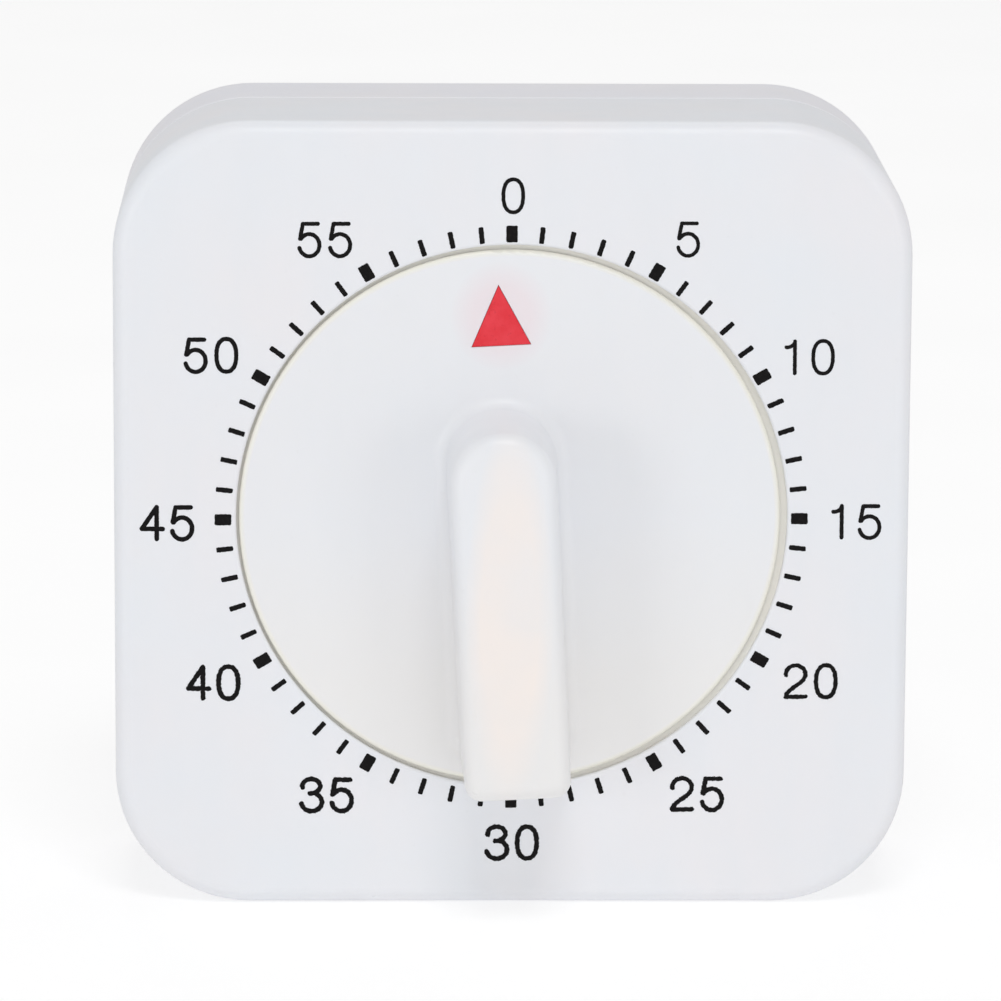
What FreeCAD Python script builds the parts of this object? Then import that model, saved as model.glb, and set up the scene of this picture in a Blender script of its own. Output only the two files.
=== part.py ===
import FreeCAD, Part
import math
import os

import Sketcher

# A square 60-minute wind-up timer, as an assembly.
#
# Every piece is drawn in the dial's own frame: X to the right and Y up as the user sees the
# dial, Z towards the user, with Z = 0 on the back of the case. Each piece's Placement then
# stands the timer upright: row X is to the right, row Z is up, and the dial looks along -Y.
# Lengths are millimetres and angles are degrees.

SIZES = [
    # case
    ("case_width", 68.0, "side of the square case"),
    ("case_corner", 11.5, "radius of the case's four corners"),
    ("case_depth", 27.0, "depth of the case, back to front"),
    ("parting", 11.0, "height of the seam between the two case shells above the back"),
    ("seam", 0.15, "open seam between the two case shells"),
    ("wall", 2.0, "wall of both case shells"),
    ("edge_round", 1.4, "rounding of the case's front edge"),
    ("back_round", 1.2, "rounding of the case's back edge"),
    ("front_seam_round", 0.2, "rounding of the front shell's edge at the seam"),
    ("cover_seam_round", 0.5, "rounding of the rear cover's edge at the seam"),
    ("lip_height", 1.6, "locating lip of the rear cover"),
    ("lip_play", 0.15, "play of the lip inside the front shell"),
    ("lip_wall", 1.0, "thickness of the lip"),
    ("overlap", 0.2, "a raised shape starts this far inside what it stands on"),
    ("boss_place", 25.4, "corner screw bosses, across from the centre"),
    ("boss_radius", 2.6, "corner screw boss of the front shell"),
    ("post_radius", 3.4, "corner screw post of the rear cover"),
    ("case_screw", 1.0, "radius of the case screws"),
    ("case_head", 2.3, "head radius of the case screws"),
    ("case_head_height", 1.6, "head height of the case screws"),
    ("case_head_recess", 4.5, "depth of the recesses that the heads sit in"),
    ("case_screw_reach", 14.0, "length of the case screws under the head"),
    ("head_play", 0.25, "play round a case screw's head"),
    ("shank_play", 0.2, "play round a case screw in the rear cover"),
    ("pilot_depth", 9.5, "depth of the bosses' pilot holes"),
    ("foot_radius", 2.2, "posts of the front shell that the movement is screwed to"),
    ("foot_thread", 0.8, "their threaded holes"),
    ("foot_thread_depth", 2.4, "depth of those holes"),
    ("sound_radius", 14.5, "round field of sound slots in the rear cover"),
    ("sound_pitch", 3.2, "from slot to slot"),
    ("sound_width", 1.4, "width of a sound slot"),
    # well in the front shell
    ("well_radius", 23.55, "round well that holds the knob"),
    ("well_wall", 1.6, "wall and floor of the well"),
    ("well_depth", 3.6, "depth of the well"),
    ("well_round", 0.3, "rounding of the well's front edge"),
    ("ledge_radius", 22.2, "the well narrows to this under the disc's rim"),
    ("ledge_depth", 0.7, "depth of the well down to that ledge"),
    ("ledge_play", 0.2, "room between the disc and the ledge, sideways and in depth"),
    ("hub_hole", 4.2, "hole for the knob's hub"),
    ("stop_inner", 18.0, "inner radius of the two stop ribs"),
    ("stop_outer", 20.3, "outer radius of the two stop ribs"),
    ("stop_width", 1.0, "width of the stop ribs"),
    ("stop_height", 1.1, "height of the stop ribs"),
    ("stop_turn", 150.0, "the knob's stop rib is this far clockwise of its pointer, in degrees"),
    ("stop_gap", 4.0, "angle from one stop rib to the other with the knob at rest, in degrees"),
    # knob
    ("movement_shift", -0.2, "the movement sits this far off the case's centre"),
    ("disc_radius", 23.13, "knob disc"),
    ("disc_thick", 2.2, "knob disc's thickness"),
    ("disc_round", 0.35, "rounding of the disc's front edge"),
    ("skirt_wall", 1.1, "rim under the disc"),
    ("skirt_height", 0.9, "rim under the disc"),
    ("hub_radius", 3.8, "knob hub"),
    ("hub_height", 4.2, "hub below the disc"),
    ("bore_depth", 12.0, "depth of the hub's bore for the main arbor"),
    ("grip_shift", -0.50, "the grip sits this far to the side of the knob's axis"),
    ("grip_width", 9.4, "grip's width at the disc"),
    ("grip_high", 9.65, "grip's reach towards the pointer, at the disc"),
    ("grip_low", 22.35, "grip's reach away from the pointer, at the disc"),
    ("grip_high_corner", 4.6, "grip's corner at the pointer end"),
    ("grip_low_corner", 1.65, "grip's corner at the other end"),
    ("grip_height", 12.0, "grip's height above the disc"),
    ("grip_draft", 1.2, "draft of the grip's sides, in degrees"),
    ("grip_edge", 1.35, "rounding of the grip's front edge"),
    ("grip_foot", 1.2, "fillet where the grip meets the disc"),
    ("grip_foot_end", 2.2, "the foot's fillet ends this far before the grip's far end"),
    ("grip_wall", 1.7, "wall of the hollow grip"),
    ("grip_bridge", 0.8, "solid part of the grip round the hub"),
    ("hollow_corner", 0.6, "corners of the grip's hollows"),
    ("pointer_base", 14.95, "radius of the pointer triangle's base"),
    ("pointer_tip", 20.1, "radius of the pointer triangle's tip"),
    ("pointer_half", 2.5, "half of the pointer's base"),
    ("pointer_depth", 0.7, "depth of the pointer's recess"),
    ("pointer_play", 0.04, "play of the pointer in its recess"),
    ("knob_angle", 3.0, "the knob stands this far counter-clockwise of zero"),
    # movement frame
    ("plate_width", 60.0, "side of both movement plates"),
    ("plate_corner", 27.0, "corner radius of both movement plates"),
    ("plate_thick", 1.0, "movement plates"),
    ("front_plate_low", 19.3, "inner face of the front plate"),
    ("rear_plate_high", 9.3, "inner face of the rear plate"),
    ("pillar_radius", 1.8, "pillars between the plates"),
    ("tenon", 1.0, "pillar ends"),
    ("tenon_reach", 1.6, "the pillar ends' length behind the rear plate"),
    ("nut_radius", 2.3, "pillar nuts, to a corner"),
    ("nut_thick", 1.3, "pillar nuts"),
    ("running", 0.05, "running clearance of a pivot in its hole"),
    ("end_play", 0.1, "arbor shoulders to plates, and pivots past the plates"),
    ("fixed_play", 0.02, "play of a piece fixed on its arbor"),
    ("screw_slot", 0.6, "slots in the screw heads"),
    ("plate_screw", 0.78, "radius of the screws that hold the movement"),
    ("plate_screw_head", 1.7, "their head radius"),
    ("plate_screw_head_height", 1.1, "their head height"),
    ("plate_screw_reach", 3.2, "their length under the head"),
    ("plate_screw_hole", 0.9, "their holes in the front plate"),
    ("driver_hole", 2.2, "holes in the rear plate for the screwdriver"),
    # arbors
    ("shaft", 0.8, "radius of the wheel arbors"),
    ("pivot", 0.5, "radius of the arbors' pivots"),
    ("main_shaft", 2.0, "radius of the main arbor"),
    ("main_pivot", 1.5, "radius of the main arbor's rear pivot"),
    ("main_pivot_reach", 0.3, "the main arbor's rear pivot behind the rear plate"),
    ("main_flat", 1.4, "flat of the main arbor's front end, from the axis"),
    ("main_end", 11.5, "length of the main arbor's flatted end"),
    ("core_radius", 2.6, "the main arbor's core, which the mainspring winds on"),
    ("core_low", 10.0, "rear end of the core"),
    ("core_high", 14.5, "front end of the core"),
    # mainspring and clutch
    ("spring_inner", 2.9, "inner radius of the wound mainspring"),
    ("spring_outer", 9.3, "outer radius of the wound mainspring"),
    ("spring_strip", 0.22, "the mainspring's strip"),
    ("spring_low", 10.1, "rear edge of the mainspring"),
    ("spring_width", 4.2, "width of the mainspring's strip"),
    ("stud_place", 10.35, "the mainspring's stud, from the main arbor"),
    ("stud_pivot", 0.6, "the stud's end in the rear plate"),
    ("collar_low", 14.55, "clutch collar"),
    ("collar_high", 15.5, "clutch collar, where the dished spring begins"),
    ("collar_radius", 3.2, "clutch collar"),
    ("dish_radius", 6.2, "wide end of the dished clutch spring"),
    ("dish_wall", 0.4, "sideways wall of the dished clutch spring"),
    # wheels, as heights above the back
    ("module_size", 0.4, "module of the wheels and pinions"),
    ("great_low", 16.2, "great wheel"),
    ("great_thick", 1.0, "great wheel"),
    ("second_low", 14.6, "second wheel"),
    ("third_low", 11.5, "third wheel"),
    ("wheel_thick", 0.7, "second and third wheels"),
    ("pinion_margin", 0.3, "the pinions are wider than their wheels by this, on each side"),
    ("escape_low", 13.6, "escape wheel"),
    ("escape_thick", 0.6, "escape wheel and pallet lever"),
    ("escape_tip", 6.5, "escape wheel's tips"),
    ("escape_root", 5.4, "escape wheel between its teeth"),
    ("star_low", 12.6, "star wheel and hammer tail"),
    ("star_tip", 4.0, "star wheel's points"),
    ("star_root", 1.9, "star wheel between its points"),
    ("pallet_low", 15.0, "pallet lever"),
    ("pallet_width", 1.6, "pallet lever's arms"),
    ("pin_radius", 0.35, "pallet pins"),
    ("pin_reach", 7.3, "pallet pins, from the escape wheel's centre"),
    ("balance_low", 16.8, "balance wheel"),
    ("balance_radius", 5.0, "balance wheel"),
    ("balance_rim", 1.0, "width of the balance wheel's rim"),
    ("balance_spoke", 1.2, "width of the balance wheel's spoke"),
    # levers, cam and bell
    ("lever_thick", 0.8, "cam, levers, star wheel and balance wheel"),
    ("lever_width", 1.4, "hammer tail and arm"),
    ("catch_width", 1.2, "hammer catch and the alarm lever's nose"),
    ("lever_hub", 1.7, "hubs of the levers and of the balance wheel"),
    ("hub_step", 0.1, "the levers' hubs stand this far proud on each side"),
    ("cam_low", 17.9, "cam, hammer catch and alarm lever"),
    ("cam_radius", 7.0, "cam"),
    ("cam_hub", 3.0, "cam's hub"),
    ("notch_floor", 4.9, "bottom of the cam's notch, from the main arbor"),
    ("notch_width", 5.4, "cam's notch"),
    ("arm_low", 5.6, "hammer arm"),
    ("head_radius", 1.4, "hammer head"),
    ("head_reach", 1.2, "the hammer head past its arm, on each side"),
    ("head_chamfer", 0.3, "chamfer of the hammer head's rear end"),
    ("strike_gap", 0.5, "hammer head to bell, at rest"),
    ("leaf_thick", 0.25, "leaf springs"),
    ("stud_radius", 0.9, "studs of the leaf springs"),
    ("bell_radius", 17.5, "bell"),
    ("bell_wall", 0.8, "bell's thickness"),
    ("bell_corner", 3.4, "rounding between the bell's crown and its side"),
    ("bell_low", 3.2, "bell's crown above the back"),
    ("bell_high", 7.8, "bell's rim above the back"),
    ("bell_post", 1.9, "bell's post"),
    ("bell_tenon", 0.88, "the post's end in the rear plate"),
    ("bell_screw", 0.95, "bell's screw"),
    ("bell_screw_head", 2.4, "head radius of the bell's screw"),
    ("bell_screw_reach", 3.8, "length of the bell's screw under its head"),
]

doc = FreeCAD.newDocument("WindUpTimer")
sheet = doc.addObject("Spreadsheet::Sheet", "Sizes")
for row, (alias, number, meaning) in enumerate(SIZES, start=1):
    sheet.set(f"A{row}", meaning)
    sheet.set(f"B{row}", str(number))
    sheet.setAlias(f"B{row}", alias)
doc.recompute()


class Length:
    """A size as a number and as the sheet expression that gives it."""

    def __init__(self, number, text=""):
        self.number = float(number)
        self.text = text or f"({self.number:.6g})"

    def combine(self, other, sign, number):
        return Length(number, f"({self.text} {sign} {length(other).text})")

    def __add__(self, other):
        return self.combine(other, "+", self.number + length(other).number)

    def __sub__(self, other):
        return self.combine(other, "-", self.number - length(other).number)

    def __mul__(self, other):
        return self.combine(other, "*", self.number * length(other).number)

    def __truediv__(self, other):
        return self.combine(other, "/", self.number / length(other).number)

    def __neg__(self):
        return self * -1


def length(value):
    return value if isinstance(value, Length) else Length(value)


class Sheet:
    """The sheet's cells, each as a Length."""


size = Sheet()
for alias, number, meaning in SIZES:
    setattr(size, alias, Length(sheet.get(alias), f"Sizes.{alias}"))

parts = {}


def bind(feature, name, value):
    feature.setExpression(name, length(value).text)


def keep(piece, label, shift=0, turn=0):
    """Name a finished piece, and stand it upright in the row frame, turned about the dial axis."""
    piece.Label = label
    upright = FreeCAD.Rotation(FreeCAD.Vector(1, 0, 0), 90)
    turned = FreeCAD.Rotation(FreeCAD.Vector(0, 0, 1), turn)
    base = FreeCAD.Vector(length(shift).number, size.case_depth.number / 2, size.case_width.number / 2)
    piece.Placement = FreeCAD.Placement(base, upright.multiply(turned))
    bind(piece, "Placement.Base.x", shift)
    bind(piece, "Placement.Base.y", size.case_depth / 2)
    bind(piece, "Placement.Base.z", size.case_width / 2)
    parts[label] = piece
    return piece


def keep_movement(piece, label, turn=0):
    return keep(piece, label, size.movement_shift, turn)


# Sketches and PartDesign features


def new_body(name):
    return doc.addObject("PartDesign::Body", name)


def sketch_at(body, level):
    """A sketch on the body's own XY plane, lifted to a level along the dial axis."""
    sketch = body.newObject("Sketcher::SketchObject", "Profile")
    plane = next(f for f in body.Origin.OriginFeatures if f.Role == "XY_Plane")
    sketch.AttachmentSupport = (plane, [""])
    sketch.MapMode = "FlatFace"
    bind(sketch, "AttachmentOffset.Base.z", level)
    return sketch


def constrain(sketch, kind, *where, value=None):
    if value is None:
        sketch.addConstraint(Sketcher.Constraint(kind, *where))
        return
    index = sketch.addConstraint(Sketcher.Constraint(kind, *where, length(value).number))
    sketch.renameConstraint(index, f"{kind}{index}")
    sketch.setExpression(f"Constraints.{kind}{index}", length(value).text)


def hold_point(sketch, geometry, position, x, y):
    """Hold a point at (x, y) from the sketch's origin."""
    for kind, value, axis in (("DistanceX", length(x), -2), ("DistanceY", length(y), -1)):
        if value.number == 0:
            constrain(sketch, "PointOnObject", geometry, position, axis)
        else:
            constrain(sketch, kind, -1, 1, geometry, position, value=value)


def draw_circle(sketch, radius, x=0, y=0):
    centre = FreeCAD.Vector(length(x).number, length(y).number, 0)
    circle = Part.Circle(centre, FreeCAD.Vector(0, 0, 1), length(radius).number)
    geometry = sketch.addGeometry(circle)
    constrain(sketch, "Radius", geometry, value=radius)
    hold_point(sketch, geometry, 3, x, y)


def draw_polygon(sketch, corners):
    points = [FreeCAD.Vector(length(x).number, length(y).number, 0) for x, y in corners]
    sides = [Part.LineSegment(a, b) for a, b in zip(points, points[1:] + points[:1])]
    lines = sketch.addGeometry(sides)
    for line, following, (x, y) in zip(lines, lines[1:] + lines[:1], corners):
        constrain(sketch, "Coincident", line, 2, following, 1)
        hold_point(sketch, line, 1, x, y)


def draw_rounded(sketch, half_width, low, high, low_corner, high_corner, shift=0):
    """A rounded rectangle from low to high, each end with its own corners, shift from the Y axis."""
    half, bottom, top, middle = (length(v).number for v in (half_width, low, high, shift))
    left, right = middle - half, middle + half
    small, large = length(low_corner).number, length(high_corner).number
    point = FreeCAD.Vector
    lines = sketch.addGeometry([
        Part.LineSegment(point(left + small, bottom, 0), point(right - small, bottom, 0)),
        Part.LineSegment(point(right, bottom + small, 0), point(right, top - large, 0)),
        Part.LineSegment(point(right - large, top, 0), point(left + large, top, 0)),
        Part.LineSegment(point(left, top - large, 0), point(left, bottom + small, 0)),
    ])
    corners = []
    for x, y, radius, start in (
        (right - small, bottom + small, small, 270),
        (right - large, top - large, large, 0),
        (left + large, top - large, large, 90),
        (left + small, bottom + small, small, 180),
    ):
        circle = Part.Circle(point(x, y, 0), point(0, 0, 1), radius)
        arc = Part.ArcOfCircle(circle, math.radians(start), math.radians(start + 90))
        corners.append(sketch.addGeometry(arc))
    for line, corner, following in zip(lines, corners, lines[1:] + lines[:1]):
        constrain(sketch, "Tangent", line, 2, corner, 1)
        constrain(sketch, "Tangent", corner, 2, following, 1)
    for line, kind in zip(lines, ("Horizontal", "Vertical", "Horizontal", "Vertical")):
        constrain(sketch, kind, line)
    constrain(sketch, "Equal", corners[0], corners[3])
    constrain(sketch, "Equal", corners[1], corners[2])
    constrain(sketch, "Radius", corners[0], value=low_corner)
    constrain(sketch, "Radius", corners[1], value=high_corner)
    constrain(sketch, "DistanceX", -1, 1, lines[1], 1, value=half_width + shift)
    constrain(sketch, "DistanceX", lines[3], 1, -1, 1, value=half_width - shift)
    constrain(sketch, "DistanceY", -1, 1, lines[0], 1, value=low)
    constrain(sketch, "DistanceY", -1, 1, lines[2], 1, value=high)


def draw_square(sketch, width, corner):
    half = width / 2
    draw_rounded(sketch, half, -half, half, corner, corner)


def pad(body, sketch, height, taper=0):
    """Raise the sketch towards the user."""
    feature = body.newObject("PartDesign::Pad", "Pad")
    feature.Profile = sketch
    bind(feature, "Length", height)
    if taper:
        bind(feature, "TaperAngle", taper)
    doc.recompute()
    return feature


def pocket(body, sketch, depth, towards_user=True):
    """Cut the sketch, and refuse a cut that removes nothing."""
    before = body.Shape.Volume
    feature = body.newObject("PartDesign::Pocket", "Pocket")
    feature.Profile = sketch
    feature.Reversed = towards_user
    bind(feature, "Length", depth)
    doc.recompute()
    if not feature.Shape.Volume < before:
        raise RuntimeError(f"{body.Name}: a pocket cuts nothing")
    return feature


def round_edges(body, radius, chosen):
    """Fillet the edges of the body's present shape that the test accepts."""
    base = body.Tip
    names = [f"Edge{n}" for n, edge in enumerate(base.Shape.Edges, start=1) if chosen(edge)]
    feature = body.newObject("PartDesign::Fillet", "Rounding")
    feature.Base = (base, names)
    bind(feature, "Radius", radius)
    doc.recompute()
    if not names or feature.Shape.isNull():
        raise RuntimeError(f"{body.Name}: rounding {length(radius).number} fails on {names}")
    return feature


def lies_at(edge, level):
    box = edge.BoundBox
    return abs(box.ZMin - length(level).number) < 1e-4 and abs(box.ZMax - length(level).number) < 1e-4


def is_circle(edge, radius):
    return isinstance(edge.Curve, Part.Circle) and abs(edge.Curve.Radius - length(radius).number) < 1e-4


# Part primitives and booleans


def rod(radius, low, high, x=0, y=0):
    """A round bar along the dial axis."""
    bar = doc.addObject("Part::Cylinder", "Rod")
    bind(bar, "Radius", radius)
    bind(bar, "Height", length(high) - low)
    for axis, value in (("x", x), ("y", y), ("z", low)):
        bind(bar, f"Placement.Base.{axis}", value)
    return bar


def frustum(low_radius, high_radius, low, high, x=0, y=0):
    cone = doc.addObject("Part::Cone", "Frustum")
    bind(cone, "Radius1", low_radius)
    bind(cone, "Radius2", high_radius)
    bind(cone, "Height", length(high) - low)
    for axis, value in (("x", x), ("y", y), ("z", low)):
        bind(cone, f"Placement.Base.{axis}", value)
    return cone


def bar_between(start, end, width, low, high):
    """A flat bar whose centre line runs from start to end."""
    heading = toward(start, end)
    turn = FreeCAD.Rotation(FreeCAD.Vector(0, 0, 1), heading)
    side = turn.multVec(FreeCAD.Vector(0, -length(width).number / 2, 0))
    bar = doc.addObject("Part::Box", "Bar")
    bar.Length = math.dist(start, end)
    bind(bar, "Width", width)
    bind(bar, "Height", length(high) - low)
    corner = FreeCAD.Vector(start[0] + side.x, start[1] + side.y, length(low).number)
    bar.Placement = FreeCAD.Placement(corner, turn)
    return bar


def prism(outline, low, high):
    """A plate cut to a closed outline of corner points."""
    wire = doc.addObject("Part::Feature", "Outline")
    wire.Shape = Part.makePolygon([FreeCAD.Vector(x, y, 0) for x, y in outline + outline[:1]])
    wire.Placement = FreeCAD.Placement(FreeCAD.Vector(0, 0, length(low).number), FreeCAD.Rotation())
    solid = doc.addObject("Part::Extrusion", "Plate")
    solid.Base = wire
    solid.DirMode = "Custom"
    solid.Dir = FreeCAD.Vector(0, 0, 1)
    solid.Solid = True
    bind(solid, "LengthFwd", length(high) - low)
    return solid


def fuse(*pieces):
    joined = doc.addObject("Part::MultiFuse", "Joined")
    joined.Shapes = list(pieces)
    joined.Refine = True
    return joined


def cut(base, *tools):
    left = doc.addObject("Part::Cut", "Cut")
    left.Base = base
    left.Tool = tools[0] if len(tools) == 1 else fuse(*tools)
    return left


def drilled(piece, radius, low, high, centre):
    """A piece with a round hole from low to high."""
    return cut(piece, rod(radius, length(low) - 1, length(high) + 1, *centre))


def polar(radius, angle, centre=(0, 0)):
    reach, turn = length(radius).number, math.radians(angle)
    return (centre[0] + reach * math.cos(turn), centre[1] + reach * math.sin(turn))


def toward(start, end):
    """The direction from one point to another, in degrees."""
    return math.degrees(math.atan2(end[1] - start[1], end[0] - start[0]))


# The going train: where each arbor stands, and its wheels

PRESSURE_ANGLE = 25
TOOTH_THINNING = 0.11
WHEEL_ADDENDUM = 0.75
PINION_ADDENDUM = 1.0
DEDENDUM = 1.2
CENTRE_PLAY = 0.05
LEAVES = 8
GREAT_TEETH = 72
SECOND_TEETH = 60
THIRD_TEETH = 56


def centre_distance(teeth):
    return size.module_size.number * (teeth + LEAVES) / 2 + CENTRE_PLAY


MAIN = (0.0, 0.0)
SECOND = polar(centre_distance(GREAT_TEETH), 185.65, MAIN)
THIRD = polar(centre_distance(SECOND_TEETH), 273.2, SECOND)
ESCAPE = polar(centre_distance(THIRD_TEETH), 348.8, THIRD)
PALLET = polar(8.6, 340.9, ESCAPE)
HAMMER = (-17.0, 15.0)
ALARM = (11.5, 12.0)
BELL = (3.0, -3.0)
PILLARS = ((-21.0, 20.0), (20.0, 19.0), (21.0, -19.0), (-7.5, -26.8))
PLATE_SCREWS = [polar(22.0, angle) for angle in (90, 210, 330)]
PIVOTED = (SECOND, THIRD, ESCAPE, PALLET, ALARM)


def gear_outline(teeth, addendum, centre, tooth_angle):
    """An involute gear's outline about a centre, with one tooth pointing at tooth_angle."""
    module = size.module_size.number
    pitch = module * teeth / 2
    base = pitch * math.cos(math.radians(PRESSURE_ANGLE))
    tip = pitch + addendum * module
    root = pitch - DEDENDUM * module
    half_tooth = (math.pi * module / 2 - TOOTH_THINNING) / (2 * pitch)
    start = max(base, root)

    def half_angle(radius):
        """Half of the tooth's angle at a radius on its involute flank."""
        roll = math.acos(min(1.0, base / radius))
        pressure = math.radians(PRESSURE_ANGLE)
        opened = math.tan(pressure) - pressure - (math.tan(roll) - roll)
        return half_tooth + opened

    flank = [start + (tip - start) * step / 3 for step in range(4)]
    if root < base:
        flank = [root] + flank
    outline = []
    for tooth in range(teeth):
        middle = math.radians(tooth_angle) + 2 * math.pi * tooth / teeth
        rising = [(radius, middle - half_angle(max(radius, start))) for radius in flank]
        falling = [(radius, middle + half_angle(max(radius, start))) for radius in reversed(flank)]
        for radius, turn in rising + falling:
            outline.append(polar(radius, math.degrees(turn), centre))
    return outline


def wheel(teeth, centre, follower, bore, low, thick, holes, hole_radius, hole_place):
    """A toothed wheel, one tooth towards its follower, with a bore and lightening holes."""
    tooth_angle, high = toward(centre, follower), low + thick
    blank = prism(gear_outline(teeth, WHEEL_ADDENDUM, centre, tooth_angle), low, high)
    tools = [rod(bore, low - 1, high + 1, *centre)]
    for number in range(holes):
        place = polar(hole_place, tooth_angle + 360 * number / holes, centre)
        tools.append(rod(hole_radius, low - 1, high + 1, *place))
    return cut(blank, *tools)


def arbor(centre):
    """An arbor between the plates, with a pivot at each end."""
    shoulder_low = size.rear_plate_high + size.end_play
    shoulder_high = size.front_plate_low - size.end_play
    rear_end = size.rear_plate_high - size.plate_thick - size.end_play
    front_end = size.front_plate_low + size.plate_thick + size.end_play
    return [
        rod(size.shaft, shoulder_low, shoulder_high, *centre),
        rod(size.pivot, rear_end, shoulder_low, *centre),
        rod(size.pivot, shoulder_high, front_end, *centre),
    ]


def train_arbor(driver, centre, wheel_low, wheel_thick):
    """An arbor with its pinion cut on it, a gap of the pinion facing the wheel that drives it."""
    gap_angle = toward(centre, driver) + 180 / LEAVES
    outline = gear_outline(LEAVES, PINION_ADDENDUM, centre, gap_angle)
    high = wheel_low + wheel_thick + size.pinion_margin
    return fuse(*arbor(centre), prism(outline, wheel_low - size.pinion_margin, high))


def screw(x, y, under_head, head_radius, head_height, shank_radius, reach, slots):
    """A screw whose head faces the back of the timer, with slots at the angles given."""
    head_low = under_head - head_height
    body = fuse(
        rod(head_radius, head_low, under_head, x, y),
        rod(shank_radius, under_head, under_head + reach, x, y),
    )
    tools = []
    for angle in slots:
        start = polar(head_radius + 1, angle, (x, y))
        end = polar(head_radius + 1, angle + 180, (x, y))
        tools.append(bar_between(start, end, size.screw_slot, head_low - 1, head_low + head_height / 2))
    return cut(body, *tools)


# Case


def make_front_case():
    body = new_body("FrontCase")
    shell = sketch_at(body, size.parting)
    draw_square(shell, size.case_width, size.case_corner)
    pad(body, shell, size.case_depth - size.parting)
    round_edges(body, size.edge_round, lambda edge: lies_at(edge, size.case_depth))
    round_edges(body, size.front_seam_round, lambda edge: lies_at(edge, size.parting))

    inside = sketch_at(body, size.parting)
    draw_square(inside, size.case_width - size.wall * 2, size.case_corner - size.wall)
    pocket(body, inside, size.case_depth - size.wall - size.parting)

    floor_back = size.case_depth - size.well_depth - size.well_wall
    tube = sketch_at(body, floor_back)
    draw_circle(tube, size.well_radius + size.well_wall)
    pad(body, tube, size.case_depth - size.wall / 2 - floor_back)
    for radius, depth in ((size.well_radius, size.ledge_depth), (size.ledge_radius, size.well_depth)):
        well = sketch_at(body, size.case_depth)
        draw_circle(well, radius)
        pocket(body, well, depth, towards_user=False)
    round_edges(
        body,
        size.well_round,
        lambda edge: lies_at(edge, size.case_depth) and is_circle(edge, size.well_radius),
    )
    hub = sketch_at(body, size.case_depth)
    draw_circle(hub, size.hub_hole)
    pocket(body, hub, size.case_depth - floor_back, towards_user=False)

    bosses = sketch_at(body, size.parting + size.seam)
    pilots = sketch_at(body, size.parting)
    for place in corner_places():
        draw_circle(bosses, size.boss_radius, *place)
        draw_circle(pilots, size.case_screw + size.fixed_play, *place)
    pad(body, bosses, size.case_depth - size.wall / 2 - size.parting - size.seam)
    pocket(body, pilots, size.pilot_depth)

    plate_front = size.front_plate_low + size.plate_thick
    feet = sketch_at(body, plate_front)
    threads = sketch_at(body, plate_front)
    for x, y in PLATE_SCREWS:
        draw_circle(feet, size.foot_radius, size.movement_shift + x, y)
        draw_circle(threads, size.foot_thread, size.movement_shift + x, y)
    pad(body, feet, floor_back - plate_front + size.overlap)
    pocket(body, threads, size.foot_thread_depth)

    stop = sketch_at(body, size.case_depth - size.well_depth - size.overlap)
    turn = size.stop_turn - size.knob_angle - size.stop_gap
    draw_polygon(stop, stop_corners(turn, size.movement_shift))
    pad(body, stop, size.stop_height + size.overlap)
    return keep(body, "front_case")


def corner_places():
    """The four corner screws' places."""
    return [(size.boss_place * x, size.boss_place * y) for x in (-1, 1) for y in (-1, 1)]


def stop_corners(turn, shift=0):
    """A stop rib's corners, turned from the pointer's direction, clockwise for the user."""
    half, angle = size.stop_width.number / 2, math.radians(turn.number)
    inner, outer = size.stop_inner.number, size.stop_outer.number
    corners = []
    for across, along in ((-half, inner), (half, inner), (half, outer), (-half, outer)):
        x = across * math.cos(angle) + along * math.sin(angle)
        y = -across * math.sin(angle) + along * math.cos(angle)
        corners.append((length(shift) + x, y))
    return corners


def make_rear_cover():
    body = new_body("RearCover")
    seam_low = size.parting - size.seam
    shell = sketch_at(body, 0)
    draw_square(shell, size.case_width, size.case_corner)
    pad(body, shell, seam_low)
    round_edges(body, size.back_round, lambda edge: lies_at(edge, 0))
    round_edges(body, size.cover_seam_round, lambda edge: lies_at(edge, seam_low))

    lip_width = size.case_width - (size.wall + size.lip_play) * 2
    lip = sketch_at(body, size.wall)
    draw_square(lip, lip_width, size.case_corner - size.wall - size.lip_play)
    pad(body, lip, seam_low + size.lip_height - size.wall)
    inside = sketch_at(body, size.wall)
    inside_corner = size.case_corner - size.wall - size.lip_play - size.lip_wall
    draw_square(inside, lip_width - size.lip_wall * 2, inside_corner)
    pocket(body, inside, seam_low + size.lip_height)

    posts = sketch_at(body, size.wall / 2)
    heads = sketch_at(body, 0)
    shanks = sketch_at(body, 0)
    for place in corner_places():
        draw_circle(posts, size.post_radius, *place)
        draw_circle(heads, size.case_head + size.head_play, *place)
        draw_circle(shanks, size.case_screw + size.shank_play, *place)
    pad(body, posts, seam_low - size.wall / 2)
    pocket(body, heads, size.case_head_recess)
    pocket(body, shanks, size.parting)

    sound = sketch_at(body, 0)
    for row in range(-3, 4):
        middle = size.sound_pitch * row
        half = math.sqrt(size.sound_radius.number ** 2 - middle.number ** 2)
        low, high = middle - size.sound_width / 2, middle + size.sound_width / 2
        draw_polygon(sound, ((-half, low), (half, low), (half, high), (-half, high)))
    pocket(body, sound, size.wall)
    return keep(body, "rear_cover")


def make_case_screws():
    screws = []
    for x, y in corner_places():
        screws.append(screw(
            x.number, y.number, size.case_head_recess, size.case_head, size.case_head_height,
            size.case_screw, size.case_screw_reach, (45, 135),
        ))
    return keep(fuse(*screws), "case_screws")


# Knob and the pieces that turn with it


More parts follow.
